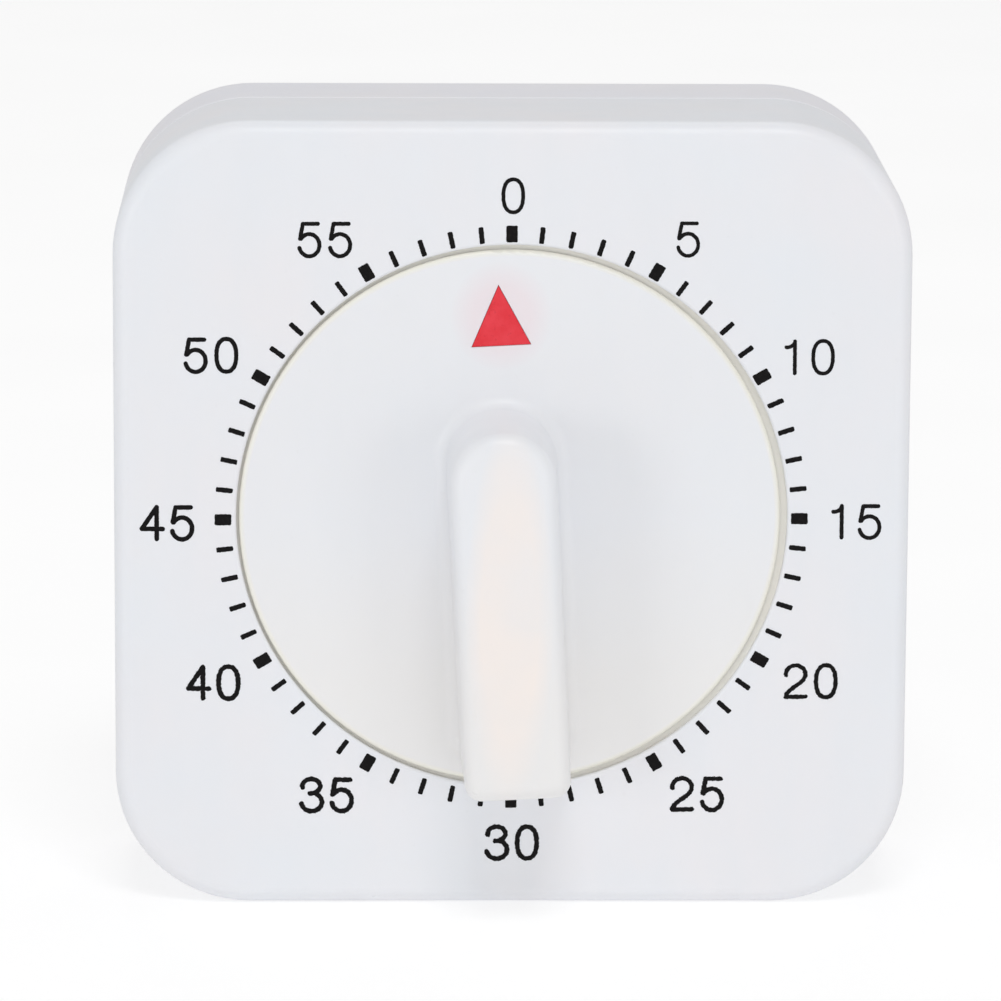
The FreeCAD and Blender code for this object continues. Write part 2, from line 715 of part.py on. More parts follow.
def make_knob():
    body = new_body("Knob")
    disc_low = size.case_depth - size.disc_thick
    rim_low = size.case_depth - size.ledge_depth + size.ledge_play
    lower_radius = size.ledge_radius - size.ledge_play
    disc = sketch_at(body, disc_low)
    draw_circle(disc, lower_radius)
    pad(body, disc, size.disc_thick)
    rim = sketch_at(body, rim_low)
    draw_circle(rim, size.disc_radius)
    pad(body, rim, size.case_depth - rim_low)
    round_edges(body, size.disc_round, lambda edge: lies_at(edge, size.case_depth))

    skirt = sketch_at(body, disc_low - size.skirt_height)
    draw_circle(skirt, lower_radius)
    draw_circle(skirt, lower_radius - size.skirt_wall)
    pad(body, skirt, size.skirt_height)
    hub = sketch_at(body, disc_low - size.hub_height)
    draw_circle(hub, size.hub_radius)
    pad(body, hub, size.hub_height)
    stop = sketch_at(body, disc_low - size.stop_height)
    draw_polygon(stop, stop_corners(size.stop_turn))
    pad(body, stop, size.stop_height + size.overlap)

    add_grip(body, size.grip_low - size.grip_foot_end)
    round_edges(
        body,
        size.grip_foot,
        lambda edge: lies_at(edge, size.case_depth)
        and not is_circle(edge, size.disc_radius - size.disc_round),
    )
    add_grip(body, size.grip_low)
    grip_top = size.case_depth + size.grip_height
    round_edges(body, size.grip_edge, lambda edge: lies_at(edge, grip_top))

    half = size.grip_width / 2 - size.grip_wall
    bridge = size.hub_radius + size.grip_bridge
    far_end, near_end = size.grip_wall - size.grip_low, size.grip_high - size.grip_wall
    for low, high in ((far_end, -bridge), (bridge, near_end)):
        hollow = sketch_at(body, disc_low)
        corners = size.hollow_corner, size.hollow_corner
        draw_rounded(hollow, half, low, high, *corners, size.grip_shift)
        feature = pocket(body, hollow, size.grip_height + size.disc_thick - size.grip_wall)
        bind(feature, "TaperAngle", -size.grip_draft)
        doc.recompute()

    bore = sketch_at(body, disc_low - size.hub_height)
    draw_flatted(bore, size.main_shaft + size.fixed_play, size.main_flat + size.fixed_play)
    pocket(body, bore, size.bore_depth)

    recess = sketch_at(body, size.case_depth)
    draw_polygon(recess, pointer_corners(size.pointer_play))
    pocket(body, recess, size.pointer_depth, towards_user=False)
    return keep_movement(body, "knob", size.knob_angle.number)


def add_grip(body, low):
    """The grip's drafted bar, from the disc's front, reaching away from the pointer by low."""
    grip = sketch_at(body, size.case_depth)
    corners = size.grip_low_corner, size.grip_high_corner
    draw_rounded(grip, size.grip_width / 2, -low, size.grip_high, *corners, size.grip_shift)
    pad(body, grip, size.grip_height, taper=-size.grip_draft)


def draw_flatted(sketch, radius, flat):
    """A round section with one flat, facing +Y at the given distance from the axis."""
    reach = math.sqrt(radius.number ** 2 - flat.number ** 2)
    left, right = FreeCAD.Vector(-reach, flat.number, 0), FreeCAD.Vector(reach, flat.number, 0)
    line = sketch.addGeometry(Part.LineSegment(left, right))
    turn = math.atan2(flat.number, reach)
    circle = Part.Circle(FreeCAD.Vector(0, 0, 0), FreeCAD.Vector(0, 0, 1), radius.number)
    arc = sketch.addGeometry(Part.ArcOfCircle(circle, math.pi - turn, 2 * math.pi + turn))
    constrain(sketch, "Coincident", line, 1, arc, 1)
    constrain(sketch, "Coincident", line, 2, arc, 2)
    constrain(sketch, "Horizontal", line)
    constrain(sketch, "Coincident", arc, 3, -1, 1)
    constrain(sketch, "Radius", arc, value=radius)
    constrain(sketch, "DistanceY", -1, 1, line, 1, value=flat)


def pointer_corners(play):
    """The pointer's triangle, grown on every side by some play."""
    half, height = size.pointer_half.number, (size.pointer_tip - size.pointer_base).number
    slope = math.hypot(half, height)
    tip_growth = slope / half
    base_growth = (slope + half) / height
    base = size.pointer_base - play
    half = size.pointer_half + length(play) * base_growth
    return ((-half, base), (half, base), (length(0), size.pointer_tip + length(play) * tip_growth))


def make_pointer():
    body = new_body("Pointer")
    outline = sketch_at(body, size.case_depth - size.pointer_depth)
    draw_polygon(outline, pointer_corners(0))
    pad(body, outline, size.pointer_depth)
    return keep_movement(body, "pointer_triangle", size.knob_angle.number)


def make_main_arbor():
    body = new_body("MainArbor")
    shoulder = size.rear_plate_high + size.end_play
    end_low = size.front_plate_low + size.plate_thick + size.overlap
    for radius, low, high in (
        (size.main_pivot, size.rear_plate_high - size.plate_thick - size.main_pivot_reach, shoulder),
        (size.main_shaft, shoulder, end_low),
        (size.core_radius, size.core_low, size.core_high),
    ):
        section = sketch_at(body, low)
        draw_circle(section, radius)
        pad(body, section, high - low)
    end = sketch_at(body, end_low)
    draw_flatted(end, size.main_shaft, size.main_flat)
    pad(body, end, size.main_end)
    return keep_movement(body, "main_arbor", size.knob_angle.number)


def make_alarm_cam():
    """The cam that the alarm lever rides on, with the notch it drops into at zero."""
    low, high = size.cam_low, size.cam_low + size.lever_thick
    hub_low = size.great_low + size.great_thick + size.end_play
    blank = fuse(rod(size.cam_radius, low, high), rod(size.cam_hub, hub_low, low))
    notch_angle = 73
    notch_floor = polar(size.notch_floor, notch_angle)
    notch_mouth = polar(size.cam_radius + 2, notch_angle)
    notch = bar_between(notch_floor, notch_mouth, size.notch_width, low - size.overlap, high + 1)
    bore = rod(size.main_shaft + size.fixed_play, hub_low - 1, high + 1)
    return keep_movement(cut(blank, bore, notch), "alarm_cam")


def make_great_wheel():
    bore = size.main_shaft + size.fixed_play
    great = wheel(
        GREAT_TEETH, MAIN, SECOND, bore, size.great_low, size.great_thick,
        holes=6, hole_radius=2.6, hole_place=9.2,
    )
    return keep_movement(great, "great_wheel")


def make_clutch():
    """The collar and the dished spring that press the great wheel on the main arbor."""
    bore = size.main_shaft + size.fixed_play
    collar = rod(size.collar_radius, size.collar_low, size.collar_high)
    keep_movement(drilled(collar, bore, size.collar_low, size.collar_high, MAIN), "clutch_collar")
    small, large = size.collar_radius - size.overlap, size.dish_radius
    low, high = size.collar_high, size.great_low
    outside = frustum(small, large, low, high)
    wall, rise = size.dish_wall, size.overlap
    inside = frustum(small - wall, large - wall, low + rise, high + rise)
    keep_movement(drilled(cut(outside, inside), bore, low, high, MAIN), "clutch_spring")


def make_mainspring():
    """A wound strip between the arbor and the stud, as a spiral of even pitch."""
    inner, outer = size.spring_inner.number, size.spring_outer.number
    turns, steps_per_turn = 7, 24
    steps = steps_per_turn * turns

    def spiral(offset):
        points = []
        for step in range(steps + 1):
            share = step / steps
            place = polar(inner + (outer - inner) * share + offset, 360 * turns * share)
            points.append(FreeCAD.Vector(*place, size.spring_low.number))
        curve = Part.BSplineCurve()
        curve.interpolate(points)
        return curve.toShape(), points[0], points[-1]

    inside, inside_start, inside_end = spiral(0)
    outside, outside_start, outside_end = spiral(size.spring_strip.number)
    caps = [Part.makeLine(inside_start, outside_start), Part.makeLine(inside_end, outside_end)]
    wire = Part.Wire(Part.__sortEdges__([inside, caps[1], outside, caps[0]]))
    spring = doc.addObject("Part::Feature", "Mainspring")
    spring.Shape = Part.Face(wire).extrude(FreeCAD.Vector(0, 0, size.spring_width.number))
    return keep_movement(spring, "mainspring")


# Movement frame


def make_plate(label, low, extra):
    """A movement plate with its pillar holes, pivot holes and the extra holes given."""
    body = new_body(label.title().replace("_", ""))
    outline = sketch_at(body, low)
    draw_square(outline, size.plate_width, size.plate_corner)
    pad(body, outline, size.plate_thick)
    holes = sketch_at(body, low)
    for x, y in PILLARS:
        draw_circle(holes, size.tenon + size.fixed_play, x, y)
    for x, y in PIVOTED:
        draw_circle(holes, size.pivot + size.running, x, y)
    for radius, x, y in extra:
        draw_circle(holes, radius, x, y)
    pocket(body, holes, size.plate_thick)
    return keep_movement(body, label)


def make_plates():
    front = [(size.main_shaft + size.running, *MAIN), (size.pivot + size.running, *HAMMER)]
    front += [(size.plate_screw_hole, x, y) for x, y in PLATE_SCREWS]
    make_plate("front_plate", size.front_plate_low, front)
    rear = [(size.main_pivot + size.running, *MAIN), (size.shaft + size.running, *HAMMER)]
    rear += [(size.driver_hole, x, y) for x, y in PLATE_SCREWS]
    rear += [(size.bell_tenon + size.fixed_play, *BELL)]
    rear += [(size.stud_pivot + size.fixed_play, *polar(size.stud_place, 0))]
    make_plate("rear_plate", size.rear_plate_high - size.plate_thick, rear)


def make_pillars():
    pillars, nuts = [], []
    rear_low = size.rear_plate_high - size.plate_thick
    front_high = size.front_plate_low + size.plate_thick
    for x, y in PILLARS:
        middle = rod(size.pillar_radius, size.rear_plate_high, size.front_plate_low, x, y)
        pillars.append(fuse(middle, rod(size.tenon, rear_low - size.tenon_reach, front_high, x, y)))
        outline = [polar(size.nut_radius, 60 * corner, (x, y)) for corner in range(6)]
        nut_low = rear_low - size.nut_thick
        nut = prism(outline, nut_low, rear_low)
        nuts.append(drilled(nut, size.tenon + size.fixed_play, nut_low, rear_low, (x, y)))
    keep_movement(fuse(*pillars), "plate_pillars")
    keep_movement(fuse(*nuts), "pillar_nuts")


def make_movement_screws():
    screws = []
    for x, y in PLATE_SCREWS:
        screws.append(screw(
            x, y, size.front_plate_low, size.plate_screw_head, size.plate_screw_head_height,
            size.plate_screw, size.plate_screw_reach, (0,),
        ))
    keep_movement(fuse(*screws), "movement_screws")


def make_spring_stud():
    x, y = polar(size.stud_place, 0)
    high = size.core_high
    rear_low = size.rear_plate_high - size.plate_thick
    stud = rod(size.shaft, size.rear_plate_high, high, x, y)
    return keep_movement(fuse(stud, rod(size.stud_pivot, rear_low, high, x, y)), "spring_stud")


# Going train


def make_train():
    great = size.great_low, size.great_thick
    second = size.second_low, size.wheel_thick
    third = size.third_low, size.wheel_thick
    keep_movement(train_arbor(MAIN, SECOND, *great), "second_arbor")
    keep_movement(train_arbor(SECOND, THIRD, *second), "third_arbor")
    keep_movement(train_arbor(THIRD, ESCAPE, *third), "escape_arbor")
    bore = size.shaft + size.fixed_play
    second_holes = {"holes": 5, "hole_radius": 2.4, "hole_place": 7.0}
    third_holes = {"holes": 5, "hole_radius": 2.2, "hole_place": 6.6}
    second_wheel = wheel(SECOND_TEETH, SECOND, THIRD, bore, *second, **second_holes)
    third_wheel = wheel(THIRD_TEETH, THIRD, ESCAPE, bore, *third, **third_holes)
    keep_movement(second_wheel, "second_wheel")
    keep_movement(third_wheel, "third_wheel")


def make_star_wheel():
    """The five-point wheel that kicks the hammer's tail."""
    points, first_point = 5, 54
    outline = []
    for point in range(points):
        angle = first_point + 360 * point / points
        outline.append(polar(size.star_tip, angle, SECOND))
        outline.append(polar(size.star_root, angle + 180 / points, SECOND))
    low, high = size.star_low, size.star_low + size.lever_thick
    star = prism(outline, low, high)
    return keep_movement(drilled(star, size.shaft + size.fixed_play, low, high, SECOND), "star_wheel")


def make_escape_wheel():
    """Raked teeth with narrow tips; each tooth rises over six degrees and falls over two."""
    teeth = 24
    outline = []
    for tooth in range(teeth):
        start = 360 * tooth / teeth
        outline.append(polar(size.escape_root, start, ESCAPE))
        outline.append(polar(size.escape_tip, start + 6, ESCAPE))
        outline.append(polar(size.escape_tip, start + 8, ESCAPE))
        outline.append(polar(size.escape_root, start + 10, ESCAPE))
    low, high = size.escape_low, size.escape_low + size.escape_thick
    tools = [rod(size.shaft + size.fixed_play, low - 1, high + 1, *ESCAPE)]
    holes, hole_radius, hole_place = 4, 1.3, 3.2
    for hole in range(holes):
        place = polar(hole_place, 360 * hole / holes, ESCAPE)
        tools.append(rod(hole_radius, low - 1, high + 1, *place))
    return keep_movement(cut(prism(outline, low, high), *tools), "escape_wheel")


# Pallets


def make_pallets():
    """The lever with two pallet pins, and the balance that slows it."""
    keep_movement(fuse(*arbor(PALLET)), "pallet_arbor")
    line, bore = toward(ESCAPE, PALLET), size.shaft + size.fixed_play
    pins = [polar(size.pin_reach, line + side, ESCAPE) for side in (30, -30)]
    low, high = size.pallet_low, size.pallet_low + size.escape_thick
    pieces = [rod(size.lever_hub, low - size.hub_step * 2, high + size.hub_step * 2, *PALLET)]
    for pin in pins:
        pieces.append(bar_between(PALLET, pin, size.pallet_width, low, high))
        pieces.append(rod(size.pallet_width / 2, low, high, *pin))
    holes = [rod(size.pin_radius + size.fixed_play, low - 1, high + 1, *pin) for pin in pins]
    holes.append(rod(bore, low - 1, high + 1, *PALLET))
    keep_movement(cut(fuse(*pieces), *holes), "pallet_lever")
    pin_low = size.escape_low - size.end_play * 3
    keep_movement(fuse(*[rod(size.pin_radius, pin_low, high, *pin) for pin in pins]), "pallet_pins")

    low, high = size.balance_low, size.balance_low + size.lever_thick
    middle = size.balance_radius - size.balance_rim
    ring = drilled(rod(size.balance_radius, low, high, *PALLET), middle, low, high, PALLET)
    reach = middle + size.balance_rim / 2
    spoke_ends = polar(reach, line, PALLET), polar(reach, line + 180, PALLET)
    spoke = bar_between(*spoke_ends, size.balance_spoke, low, high)
    balance = fuse(ring, spoke, rod(size.lever_hub - size.hub_step, low, high, *PALLET))
    keep_movement(drilled(balance, bore, low, high, PALLET), "balance_wheel")


# Striking work


def hammer_place():
    """The hammer head's centre: the arm meets the bell's radius there at a right angle."""
    reach = (size.bell_radius + size.head_radius + size.strike_gap).number
    spread = math.degrees(math.acos(reach / math.dist(HAMMER, BELL)))
    return polar(reach, toward(BELL, HAMMER) - spread, BELL)


def lever(arbor_place, bars, low, *holes):
    """A flat lever: bars given as (start, end, width), a hub, a bore and further holes."""
    high = low + size.lever_thick
    hub = rod(size.lever_hub, low - size.hub_step, high + size.hub_step, *arbor_place)
    pieces = [bar_between(start, end, width, low, high) for start, end, width in bars]
    bores = [(size.shaft + size.fixed_play, arbor_place), *holes]
    return cut(fuse(hub, *pieces), *[rod(radius, low - 1, high + 1, *place) for radius, place in bores])


def make_hammer():
    head_place = hammer_place()
    arm_low, arm_high = size.arm_low, size.arm_low + size.lever_thick
    shoulder = size.front_plate_low - size.end_play
    front_end = size.front_plate_low + size.plate_thick + size.end_play
    shaft = rod(size.shaft, arm_low - size.overlap * 2, shoulder, *HAMMER)
    keep_movement(fuse(shaft, rod(size.pivot, shoulder, front_end, *HAMMER)), "hammer_arbor")

    tail_end, catch_end = (-15.9, 3.3), (-17.0, 11.6)
    tail = lever(HAMMER, [(HAMMER, tail_end, size.lever_width)], size.star_low)
    keep_movement(tail, "hammer_tail")
    catch = lever(HAMMER, [(HAMMER, catch_end, size.catch_width)], size.cam_low)
    keep_movement(catch, "hammer_catch")
    head_hole = (size.head_radius + size.fixed_play, head_place)
    arm = lever(HAMMER, [(HAMMER, head_place, size.lever_width)], arm_low, head_hole)
    keep_movement(arm, "hammer_arm")

    head_low, head_high = arm_low - size.head_reach, arm_high + size.head_reach - size.overlap
    tip = frustum(size.head_radius - size.dish_wall, size.head_radius,
                  head_low - size.head_chamfer, head_low, *head_place)
    keep_movement(fuse(rod(size.head_radius, head_low, head_high, *head_place), tip), "hammer_head")


def rounded_disc(radius, corner, low, high, centre):
    """A thick disc with its lower edge rounded to the corner radius."""
    disc = rod(radius, low, high, *centre)
    doc.recompute()
    rounded = doc.addObject("Part::Fillet", "Rounded")
    rounded.Base = disc
    reach = length(corner).number
    edges = enumerate(disc.Shape.Edges, start=1)
    rounded.Edges = [(number, reach, reach) for number, edge in edges if lies_at(edge, low)]
    return rounded


def make_bell():
    inner_floor, rim = size.bell_low + size.bell_wall, size.bell_high
    outside = rounded_disc(size.bell_radius, size.bell_corner, size.bell_low, rim, BELL)
    inner_corner = size.bell_corner - size.bell_wall
    inside = rounded_disc(size.bell_radius - size.bell_wall, inner_corner, inner_floor, rim + 1, BELL)
    keep_movement(drilled(cut(outside, inside), 1.0, size.bell_low, inner_floor, BELL), "bell")
    rear_low = size.rear_plate_high - size.plate_thick
    post = rod(size.bell_post, inner_floor, rear_low, *BELL)
    tenon = rod(size.bell_tenon, rear_low, size.rear_plate_high, *BELL)
    thread = rod(size.bell_screw + size.fixed_play, size.bell_low, rear_low - size.overlap * 3, *BELL)
    keep_movement(cut(fuse(post, tenon), thread), "bell_post")
    fixing = screw(*BELL, size.bell_low, size.bell_screw_head, size.bell_screw, size.bell_screw,
                   size.bell_screw_reach, (0,))
    keep_movement(fixing, "bell_screw")


def make_alarm_lever():
    """The lever that rides on the cam and, at zero, drops and frees the hammer."""
    keep_movement(fuse(*arbor(ALARM)), "alarm_lever_arbor")
    lever_end, nose_top, nose_tip = (-15.6, 12.2), (0.5, 12.0), (0.5, 7.2)
    bars = [(ALARM, lever_end, size.catch_width + size.dish_wall), (nose_top, nose_tip, size.catch_width)]
    keep_movement(lever(ALARM, bars, size.cam_low), "alarm_lever")


def make_leaf_springs():
    """Two leaf springs on studs: one returns the hammer, one presses the alarm lever down."""
    for label, foot, end, low in (
        ("hammer_spring", (-24.5, 8.0), (-17.6, 9.6), size.star_low - size.end_play),
        ("alarm_lever_spring", (-2.0, 17.5), (6.0, 13.3), size.cam_low - size.end_play),
    ):
        high = low + size.lever_thick
        stud = rod(size.stud_radius, size.rear_plate_high, high + size.overlap, *foot)
        keep_movement(fuse(stud, bar_between(foot, end, size.leaf_thick, low, high)), label)


def check_document():
    """Stop at the first object that didn't compute, and at any piece without a valid solid."""
    for item in doc.Objects:
        if {"Invalid", "Error"} & set(item.State):
            raise RuntimeError(f"{item.Label} ({item.Name}) failed: {item.State}")
    for label, piece in parts.items():
        shape = piece.Shape
        if shape.isNull() or not shape.isValid() or not shape.Solids:
            raise RuntimeError(f"{label} has no valid solid")


make_front_case()
make_rear_cover()
make_case_screws()
make_knob()
make_pointer()
make_main_arbor()
make_alarm_cam()
make_great_wheel()
make_clutch()
make_mainspring()
make_plates()
make_pillars()
make_movement_screws()
make_spring_stud()
make_train()
make_star_wheel()
make_escape_wheel()
make_pallets()
make_hammer()
make_bell()
make_alarm_lever()
make_leaf_springs()
doc.recompute()
check_document()

os.makedirs("parts", exist_ok=True)
for label, piece in parts.items():
    piece.Shape.exportStep(f"parts/{label}.step")
    print(f"{label}: {len(piece.Shape.Solids)} solid(s), {piece.Shape.Volume:.1f} mm3")
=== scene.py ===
import math

import bmesh
import bpy
import numpy as np
from mathutils import Matrix, Vector
from mathutils.geometry import tessellate_polygon


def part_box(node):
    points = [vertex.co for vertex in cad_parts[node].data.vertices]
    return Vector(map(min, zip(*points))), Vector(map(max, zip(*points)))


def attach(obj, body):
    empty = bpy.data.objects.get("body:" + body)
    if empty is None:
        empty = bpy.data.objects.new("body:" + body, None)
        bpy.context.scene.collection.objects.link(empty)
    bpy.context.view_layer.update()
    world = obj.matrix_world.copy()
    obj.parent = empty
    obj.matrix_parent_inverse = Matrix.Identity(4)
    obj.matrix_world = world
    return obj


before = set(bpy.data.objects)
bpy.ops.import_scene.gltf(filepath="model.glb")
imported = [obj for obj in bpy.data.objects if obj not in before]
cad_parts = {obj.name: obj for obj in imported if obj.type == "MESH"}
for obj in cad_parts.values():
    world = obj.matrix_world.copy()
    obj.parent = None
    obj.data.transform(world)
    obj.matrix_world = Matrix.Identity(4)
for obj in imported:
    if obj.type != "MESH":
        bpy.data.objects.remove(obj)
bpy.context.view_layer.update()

# The looks of a square wind-up timer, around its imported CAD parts.
# The dial's own frame is in millimetres: x right, y up, z towards the user, with the
# origin at the dial's centre on the front face. The row frame is in metres: x right, z up,
# and the user looks along +y.

MM = 0.001
case_low, case_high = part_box("front_case")
DIAL = Vector(((case_low.x + case_high.x) / 2, case_low.y, (case_low.z + case_high.z) / 2))


def at_dial(x, y, z=0.0):
    """The row point of a point in the dial's frame."""
    return DIAL + Vector((x, -z, y)) * MM


def link(obj):
    bpy.context.scene.collection.objects.link(obj)
    return obj


# ---------------------------------------------------------------- materials


class Look:
    """A material: one Principled shader and the nodes that feed it."""

    def __init__(self, name):
        self.material = bpy.data.materials.new(name)
        self.material.use_nodes = True
        self.tree = self.material.node_tree
        self.shader = self.tree.nodes["Principled BSDF"]
        self.place = self.add("ShaderNodeTexCoord").outputs["Object"]

    def add(self, kind, inputs=None, **settings):
        node = self.tree.nodes.new(kind)
        for key, value in settings.items():
            setattr(node, key, value)
        for key, value in (inputs or {}).items():
            self.feed(node.inputs[key], value)
        return node

    def feed(self, socket, value):
        if isinstance(value, bpy.types.NodeSocket):
            self.tree.links.new(value, socket)
        else:
            socket.default_value = value

    def stretch(self, scale, place=None):
        """The place with each axis scaled."""
        return self.add("ShaderNodeVectorMath", {0: place or self.place, 1: scale},
                        operation="MULTIPLY").outputs[0]

    def noise(self, grain, detail=2.0, place=None, roughness=0.5):
        """Soft noise from 0 to 1 with patches of about grain millimetres."""
        node = self.add("ShaderNodeTexNoise", {
            "Vector": place or self.place, "Scale": 1 / (grain * MM),
            "Detail": detail, "Roughness": roughness})
        return node.outputs["Fac"]

    def span(self, value, low, high, start=0.0, end=1.0):
        """The value moved from low..high to start..end, and held there."""
        node = self.add("ShaderNodeMapRange", {
            "Value": value, "From Min": low, "From Max": high, "To Min": start, "To Max": end})
        return node.outputs["Result"]

    def math(self, operation, first, second=0.0):
        return self.add("ShaderNodeMath", {0: first, 1: second},
                        operation=operation).outputs[0]

    def blend(self, share, first, second):
        """The first colour, going to the second with share."""
        node = self.add("ShaderNodeMix", data_type="RGBA")
        self.feed(node.inputs["Factor"], share)
        self.feed(node.inputs["A"], first)
        self.feed(node.inputs["B"], second)
        return node.outputs["Result"]

    def edges(self, low=0.52, high=0.6):
        """1 on convex edges and 0 elsewhere."""
        return self.span(self.add("ShaderNodeNewGeometry").outputs["Pointiness"], low, high)

    def distance_to(self, centre, scale=(1, 1, 1)):
        """Millimetres from a row point, with each axis scaled."""
        off = self.add("ShaderNodeVectorMath", {0: self.place, 1: centre},
                       operation="SUBTRACT").outputs[0]
        scaled = self.stretch([s / MM for s in scale], off)
        return self.add("ShaderNodeVectorMath", {0: scaled},
                        operation="LENGTH").outputs["Value"]

    def bump(self, height, depth, strength=1.0, under=None):
        """A bump of depth millimetres, on top of another bump."""
        inputs = {"Height": height, "Distance": depth * MM, "Strength": strength}
        if under is not None:
            inputs["Normal"] = under
        return self.add("ShaderNodeBump", inputs).outputs["Normal"]

    def finish(self, colour, roughness, normal=None, **plain):
        self.feed(self.shader.inputs["Base Color"], colour)
        self.feed(self.shader.inputs["Roughness"], roughness)
        if normal is not None:
            self.feed(self.shader.inputs["Normal"], normal)
        for key, value in plain.items():
            self.feed(self.shader.inputs[key.replace("_", " ")], value)
        return self.material


def rgb(red, green, blue):
    """A linear colour from the usual 0 to 255 screen values."""
    def linear(value):
        value /= 255
        return value / 12.92 if value < 0.04045 else ((value + 0.055) / 1.055) ** 2.4
    return (linear(red), linear(green), linear(blue), 1)


def moulded_plastic(name, colour, warmer, roughness, tint=None):
    """Satin white plastic: faint flow streaks, a fine eroded texture and polished edges."""
    look = Look(name)
    cloud = look.noise(14, 3)
    streak = look.noise(3.5, 2, look.stretch((1, 1, 0.25)))
    shade = look.blend(look.span(cloud, 0.3, 0.7, 0, 0.8), colour, warmer)
    dull = [channel * 0.975 for channel in colour[:3]] + [1]
    shade = look.blend(look.span(streak, 0.45, 0.75, 0, 0.35), shade, dull)
    if tint is not None:
        shade = tint(look, shade)
    speck = look.span(look.noise(0.5, 0), 0.80, 0.83)
    shade = look.blend(look.math("MULTIPLY", speck, 0.02), shade, rgb(150, 146, 140))
    worn = look.math("MULTIPLY", look.edges(), look.noise(1.6, 3))
    rough = look.span(look.noise(2.4, 3), 0.3, 0.7, roughness - 0.05, roughness + 0.05)
    rough = look.math("SUBTRACT", rough, look.math("MULTIPLY", worn, 0.16))
    wave = look.bump(look.noise(9, 2), 0.03)
    grain = look.bump(look.noise(0.16, 2), 0.004, 1.0, wave)
    return look.finish(shade, rough, grain, IOR=1.5, Subsurface_Weight=0.08,
                       Subsurface_Radius=(1, 0.95, 0.85), Subsurface_Scale=0.5 * MM)


def case_plastic():
    """The case's plastic has a painted warm shade towards the bottom of the well, in the narrow gap
    round the knob.
    """
    def well(look, shade):
        depth = look.math("SUBTRACT", look.add("ShaderNodeSeparateXYZ", {0: look.place}).outputs[1],
                          DIAL.y)
        across = look.distance_to(DIAL, (1, 0, 1))
        inside = look.span(across, 24.0, 23.4)
        # Painted warm shade: a cream tint for the shaded, bounced light deep in the gap.
        painted_gap_shade = look.math("MULTIPLY", look.span(depth, 0.2 * MM, 1.0 * MM), inside)
        return look.blend(painted_gap_shade, shade, rgb(247, 243, 229))

    return moulded_plastic("case_plastic", rgb(236, 239, 244), rgb(240, 238, 241), 0.42, well)


def cover_plastic():
    return moulded_plastic("cover_plastic", rgb(236, 236, 242), rgb(239, 237, 240), 0.46)


def knob_plastic():
    """Cool white, warmer towards the bottom, with a painted warm shade at the rim beside the gap, a
    painted pink glow round the red pointer, and warm where fingers hold the grip.
    """
    triangle = middle("pointer_triangle")
    rim = middle("main_arbor")
    grip = at_dial(-0.4, -6.2)

    # Partly painted light: the warm shade at the rim and the pink glow round the pointer; the rest
    # is the knob's own tone.
    def worn(look, shade):
        depth = look.add("ShaderNodeSeparateXYZ", {0: look.place}).outputs
        # Warmer towards the bottom.
        lower = look.span(depth[2], DIAL.z, DIAL.z - 14 * MM, 0, 0.7)
        shade = look.blend(lower, shade, rgb(241, 239, 237))
        # Painted pink glow: the red pointer's light scattered into the white plastic round it.
        pointer_glow_reach = look.distance_to(triangle, (1.0, 0.6, 0.92))
        shade = look.blend(look.span(pointer_glow_reach, 2.4, 4.4, 0.22, 0.0), shade, rgb(246, 196, 204))
        # Painted warm shade on the disc's rim, beside the narrow gap round it.
        across = look.distance_to(rim, (1, 0, 1))
        shade = look.blend(look.span(across, 22.6, 23.0, 0, 0.8), shade, rgb(243, 240, 226))
        held = look.span(look.distance_to(grip, (1 / 3.4, 0, 1 / 15)), 0.7, 1.1, 1, 0)
        front = look.span(depth[1], DIAL.y - 6 * MM, DIAL.y - 11 * MM)
        patches = look.span(look.noise(7, 2), 0.35, 0.65, 0.5, 1.0)
        held = look.math("MULTIPLY", look.math("MULTIPLY", held, front), patches)
        return look.blend(held, shade, rgb(250, 241, 236))

    return moulded_plastic("knob_plastic", rgb(238, 240, 244), rgb(239, 239, 242), 0.36, worn)


def pointer_red():
    """Red plastic filled into its recess by hand: an uneven, slightly dished surface."""
    look = Look("pointer_red")
    cloud = look.noise(1.1, 3)
    shade = look.blend(look.span(cloud, 0.35, 0.7), rgb(230, 36, 52), rgb(236, 54, 68))
    thin = look.span(look.noise(0.35, 2), 0.62, 0.72, 0, 0.5)
    shade = look.blend(thin, shade, rgb(205, 22, 44))
    rough = look.span(cloud, 0.3, 0.7, 0.28, 0.42)
    dish = look.bump(look.noise(0.7, 2), 0.05)
    return look.finish(shade, rough, dish, IOR=1.5, Subsurface_Weight=0.1,
                       Subsurface_Radius=(1, 0.3, 0.3), Subsurface_Scale=0.6 * MM)


def ink():
    """Pad-printed ink: nearly black, thinner and greyer in places."""
    look = Look("dial_ink")
    thin = look.span(look.noise(0.22, 3), 0.5, 0.8, 0, 0.55)
    shade = look.blend(thin, rgb(14, 12, 13), rgb(36, 33, 33))
    rough = look.span(look.noise(0.3, 2), 0.3, 0.7, 0.42, 0.6)
    return look.finish(shade, rough, look.bump(look.noise(0.12, 2), 0.01),
                       Specular_IOR_Level=0.12)


def metal(name, colour, tarnish, marks, roughness, spread=0.1, depth=0.004, patches=3.0):
    """Bare or plated metal: marks gives the tool marks' noise, and worn edges get a painted
    highlight.
    """
    look = Look(name)
    lines = marks(look)
    shade = look.blend(look.span(look.noise(patches, 3), 0.35, 0.75, 0, 0.7), colour, tarnish)
    # Edge wear with a painted highlight: the colour is lightened along convex edges.
    worn_edge_highlight = [min(1, channel * 1.12) for channel in colour[:3]] + [1]
    shade = look.blend(look.math("MULTIPLY", look.edges(), 0.7), shade, worn_edge_highlight)
    rough = look.span(lines, 0.25, 0.75, roughness - spread, roughness + spread)
    return look.finish(shade, rough, look.bump(lines, depth), Metallic=1.0)


